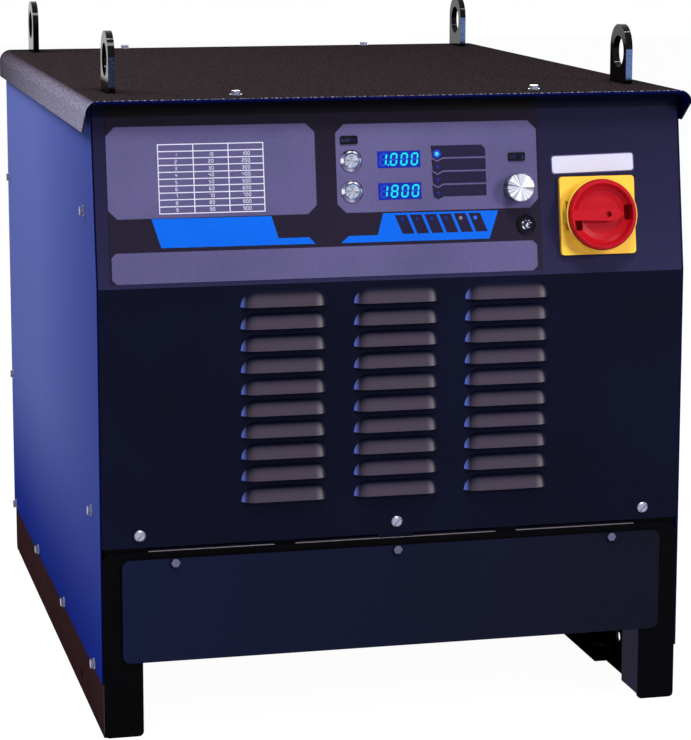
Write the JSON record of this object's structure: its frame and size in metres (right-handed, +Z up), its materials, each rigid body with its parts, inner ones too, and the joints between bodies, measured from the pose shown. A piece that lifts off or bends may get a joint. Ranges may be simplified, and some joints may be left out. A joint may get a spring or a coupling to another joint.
{
  "type": "stud welder",
  "caption": "Floor-standing stud welding power source: blue and black sheet steel cabinet with a louvred front, sloped control panel, main switch, lifting eyes and rails.",
  "frame": {"origin": "on the floor at the middle of the footprint's bounding box", "axes": "+X to the right seen from the front, +Y from the front to the back, +Z up"},
  "size_m": [0.7034, 0.9424, 0.7924],
  "materials": {
    "base_black": "black powder coat",
    "panel_navy": "fine dark navy powder coat",
    "side_blue": "blue powder coat",
    "lid_wrinkle": "black wrinkle powder coat",
    "bar_gloss": "gloss black paint",
    "zinc": "bright zinc plating",
    "guard_chrome": "bright wire",
    "socket_brass": "turned brass",
    "flap_rubber": "embossed rubber sheet",
    "overlay_film": "matt printed polyester film",
    "display_blue": "tinted display window",
    "button_chrome": "polished chrome plating",
    "black_plastic": "moulded black plastic",
    "knob_aluminium": "turned aluminium",
    "light_lens": "clear tinted lens",
    "switch_yellow": "moulded yellow plastic",
    "switch_red": "moulded red plastic",
    "core_steel": "varnished steel laminations",
    "winding_copper": "varnished copper",
    "sink_aluminium": "extruded aluminium",
    "board_green": "green circuit board"
  },
  "bodies": {
    "cabinet": {"rail_left": "base_black", "rail_right": "base_black", "base_front": "base_black", "base_rear": "base_black", "deck": "base_black", "front_panel": "panel_navy", "left_side_panel": "side_blue", "right_side_panel": "side_blue", "rear_panel": "panel_navy", "lid": "lid_wrinkle", "lifting_bar_front_left": "bar_gloss", "lifting_bar_front_right": "bar_gloss", "lifting_bar_rear_left": "bar_gloss", "lifting_bar_rear_right": "bar_gloss", "connection_panel": "panel_navy", "output_sockets": "socket_brass", "control_socket": "zinc", "flap_strip": "flap_rubber", "lid_screws": "zinc", "front_panel_screws": "zinc", "left_side_screws": "zinc", "right_side_screws": "zinc", "flap_screws": "zinc", "rear_panel_screws": "zinc", "fan_guard": "guard_chrome", "cable_gland": "black_plastic", "control_overlay": "overlay_film", "display_upper": "display_blue", "display_lower": "display_blue", "button_bezels": "button_chrome", "rocker_frames": "black_plastic", "encoder_body": "black_plastic", "lock_body": "black_plastic", "indicator_lights": "light_lens", "switch_plate": "switch_yellow", "switch_block": "black_plastic", "transformer_core": "core_steel", "transformer_windings": "winding_copper", "core_clamps": "core_steel", "choke_core": "core_steel", "choke_winding": "winding_copper", "heat_sink": "sink_aluminium", "thyristors": "black_plastic", "bus_bars": "winding_copper", "fan_shroud": "base_black", "fan_motor": "core_steel", "control_board": "board_green"},
    "flap": {"flap": "flap_rubber"},
    "button_upper": {"button_upper": "button_chrome"},
    "button_lower": {"button_lower": "button_chrome"},
    "rocker_left": {"rocker_left": "black_plastic"},
    "rocker_right": {"rocker_right": "black_plastic"},
    "encoder_press": {"encoder_plunger": "black_plastic"},
    "knob": {"encoder_shaft": "zinc", "encoder_knob": "knob_aluminium"},
    "lock": {"lock_barrel": "button_chrome"},
    "main_switch": {"switch_handle": "switch_red", "switch_shaft": "zinc"},
    "fan": {"fan_blade": "black_plastic"}
  },
  "joints": [
    {"name": "flap_lift", "type": "hinge", "parent": "cabinet", "child": "flap", "pos_m": [0, -0.45236, 0.19], "axis": [-1, 0, 0], "range_deg": [0, 85]},
    {"name": "main_switch_turn", "type": "hinge", "parent": "cabinet", "child": "main_switch", "pos_m": [0.2387, -0.43868, 0.58022], "axis": [0, 0.9881, -0.1535], "range_deg": [0, 90]},
    {"name": "button_upper_press", "type": "slide", "parent": "cabinet", "child": "button_upper", "axis": [0, 0.9881, -0.1535], "range_m": [0, 0.002], "stiffness_N_per_m": 800},
    {"name": "button_lower_press", "type": "slide", "parent": "cabinet", "child": "button_lower", "axis": [0, 0.9881, -0.1535], "range_m": [0, 0.002], "stiffness_N_per_m": 800},
    {"name": "rocker_left_rock", "type": "hinge", "parent": "cabinet", "child": "rocker_left", "pos_m": [-0.0515, -0.42144, 0.67166], "axis": [0, 0.1535, 0.9881], "range_deg": [-16, 0]},
    {"name": "rocker_right_rock", "type": "hinge", "parent": "cabinet", "child": "rocker_right", "pos_m": [0.1448, -0.42501, 0.64863], "axis": [0, 0.1535, 0.9881], "range_deg": [0, 16]},
    {"name": "encoder_press_in", "type": "slide", "parent": "cabinet", "child": "encoder_press", "axis": [0, 0.9881, -0.1535], "range_m": [0, 0.0008], "stiffness_N_per_m": 2000},
    {"name": "knob_turn", "type": "hinge", "parent": "encoder_press", "child": "knob", "pos_m": [0.144, -0.43346, 0.61381], "axis": [0, 0.9881, -0.1535], "continuous": true},
    {"name": "lock_turn", "type": "hinge", "parent": "cabinet", "child": "lock", "pos_m": [0.1535, -0.43995, 0.57202], "axis": [0, 0.9881, -0.1535], "range_deg": [0, 90]},
    {"name": "fan_spin", "type": "hinge", "parent": "cabinet", "child": "fan", "pos_m": [0, 0.39119, 0.4705], "axis": [0, 1, 0], "continuous": true}
  ]
}
